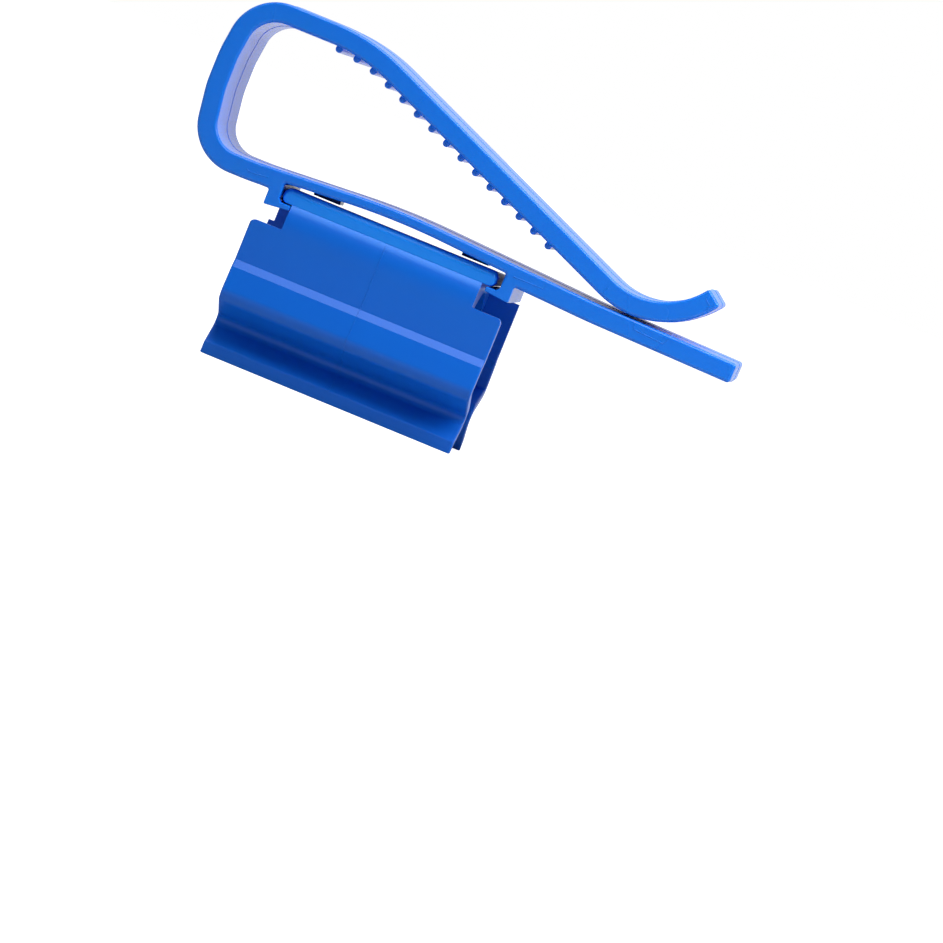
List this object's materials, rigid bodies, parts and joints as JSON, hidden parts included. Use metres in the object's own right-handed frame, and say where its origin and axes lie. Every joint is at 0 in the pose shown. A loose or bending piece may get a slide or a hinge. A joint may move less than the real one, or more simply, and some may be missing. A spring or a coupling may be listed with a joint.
{
  "type": "bag clip",
  "caption": "Spring clip with a toothed arm that grips a rim or folded bag against a flat leg, with a sliding cradle under the leg that holds a round tube.",
  "frame": {"origin": "centre of the overall box in X and Y, on the plane the cradle's two lips stand on", "axes": "+X along the leg from the spring loop to the free end, +Y across the strip from the near face to the far face, +Z from the cradle up to the arm"},
  "size_m": [0.1162, 0.0316, 0.0693],
  "materials": {
    "clip_plastic": "satin gloss, azure blue",
    "cradle_plastic": "satin gloss, darker blue"
  },
  "bodies": {
    "leg": {"gripping_leg": "clip_plastic", "spring_loop_lower": "clip_plastic"},
    "arm": {"spring_loop_upper": "clip_plastic", "toothed_arm": "clip_plastic"},
    "cradle": {"cradle_top": "cradle_plastic"},
    "near_wall": {"near_jaw": "cradle_plastic"},
    "far_wall": {"far_jaw": "cradle_plastic"}
  },
  "joints": [
    {"name": "arm_flex", "type": "hinge", "parent": "leg", "child": "arm", "pos_m": [-0.05605, 0, 0.0527], "axis": [0, -1, 0], "range_deg": [0, 12], "stiffness_Nm_per_rad": 3.5},
    {"name": "cradle_slide", "type": "slide", "parent": "leg", "child": "cradle", "axis": [0, 1, 0], "range_m": [-0.012, 0.012]},
    {"name": "near_jaw_flex", "type": "hinge", "parent": "cradle", "child": "near_wall", "pos_m": [-0.0136, -0.0132, 0.021], "axis": [-1, 0, 0], "range_deg": [0, 5], "stiffness_Nm_per_rad": 2},
    {"name": "far_jaw_flex", "type": "hinge", "parent": "cradle", "child": "far_wall", "pos_m": [-0.0136, 0.0132, 0.021], "axis": [1, 0, 0], "range_deg": [0, 5], "stiffness_Nm_per_rad": 2}
  ],
  "couplings": [
    {"joint": "far_jaw_flex", "follows": "near_jaw_flex", "ratio": 1}
  ]
}
